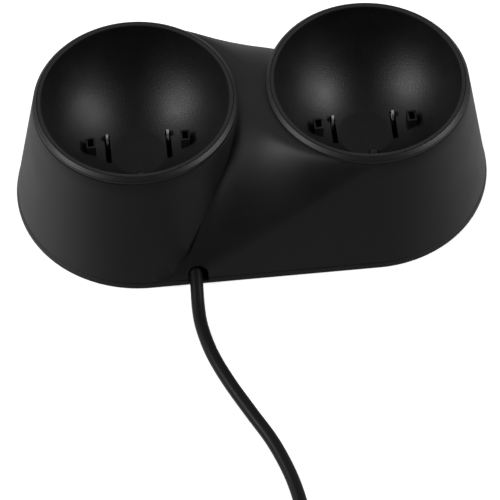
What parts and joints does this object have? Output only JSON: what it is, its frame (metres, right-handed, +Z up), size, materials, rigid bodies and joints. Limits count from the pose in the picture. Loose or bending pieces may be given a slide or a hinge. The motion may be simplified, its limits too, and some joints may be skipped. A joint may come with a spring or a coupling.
{
  "type": "dual motion controller charging dock",
  "caption": "Low black charging dock with two round bowls for ball-headed hand-held motion controllers, sprung contacts in each bowl, and a fixed USB lead.",
  "frame": {"origin": "on the table under the middle of the dock, halfway between the two bowls", "axes": "+X along the dock from the left bowl to the right bowl, -Y towards the user, where the lead comes out, +Z up"},
  "size_m": [0.154, 0.2033, 0.0377],
  "materials": {
    "shell": "fine satin",
    "liner": "matte with a fine grain",
    "inner": "matte",
    "rubber": "matte",
    "cable": "satin flexible jacket",
    "gold": "bright plated",
    "steel": "bright",
    "nickel": "bright plated",
    "board": "satin laminate",
    "chip": "matte",
    "connector": "matte",
    "window": "smoked, slightly glossy",
    "red": "satin"
  },
  "bodies": {
    "dock": {"base_plate": "shell", "base_screw_1": "steel", "base_screw_2": "steel", "base_screw_3": "steel", "base_screw_4": "steel", "board_screw_left": "steel", "board_screw_right": "steel", "cable_clamp": "inner", "cable_coil": "cable", "cable_connector": "connector", "cable_lead_ground": "chip", "cable_lead_power": "red", "charge_ic_left": "chip", "charge_ic_right": "chip", "clamp_screw_left": "steel", "clamp_screw_right": "steel", "coil_tie": "rubber", "contact_block_left": "inner", "contact_block_right": "inner", "cup_board_left": "board", "cup_board_right": "board", "cup_connector_left": "connector", "cup_connector_right": "connector", "cup_lead_left_ground": "chip", "cup_lead_left_power": "red", "cup_lead_right_ground": "chip", "cup_lead_right_power": "red", "cup_liner_left": "liner", "cup_liner_right": "liner", "cup_screw_left_front": "steel", "cup_screw_left_rear": "steel", "cup_screw_right_front": "steel", "cup_screw_right_rear": "steel", "foot_1": "rubber", "foot_2": "rubber", "foot_3": "rubber", "foot_4": "rubber", "indicator_led_left": "window", "indicator_led_right": "window", "input_capacitor": "nickel", "light_pipe_left": "window", "light_pipe_right": "window", "main_board": "board", "plug_grip": "cable", "plug_shell": "nickel", "plug_tongue": "connector", "power_inductor": "chip", "upper_housing": "shell", "usb_cable": "cable", "usb_cable_tail": "cable"},
    "contact_spring_left_outer": {"contact_spring_left_outer": "gold"},
    "contact_spring_left_inner": {"contact_spring_left_inner": "gold"},
    "contact_spring_right_outer": {"contact_spring_right_outer": "gold"},
    "contact_spring_right_inner": {"contact_spring_right_inner": "gold"}
  },
  "joints": [
    {"name": "contact_spring_left_outer_flex", "type": "hinge", "parent": "dock", "child": "contact_spring_left_outer", "pos_m": [-0.0374, 0.008, 0.0119], "axis": [1, 0, 0], "range_deg": [0, 14], "stiffness_Nm_per_rad": 0.02},
    {"name": "contact_spring_left_inner_flex", "type": "hinge", "parent": "dock", "child": "contact_spring_left_inner", "pos_m": [-0.0216, 0.008, 0.0119], "axis": [1, 0, 0], "range_deg": [0, 14], "stiffness_Nm_per_rad": 0.02},
    {"name": "contact_spring_right_outer_flex", "type": "hinge", "parent": "dock", "child": "contact_spring_right_outer", "pos_m": [0.0374, 0.008, 0.0119], "axis": [1, 0, 0], "range_deg": [0, 14], "stiffness_Nm_per_rad": 0.02},
    {"name": "contact_spring_right_inner_flex", "type": "hinge", "parent": "dock", "child": "contact_spring_right_inner", "pos_m": [0.0216, 0.008, 0.0119], "axis": [1, 0, 0], "range_deg": [0, 14], "stiffness_Nm_per_rad": 0.02}
  ]
}
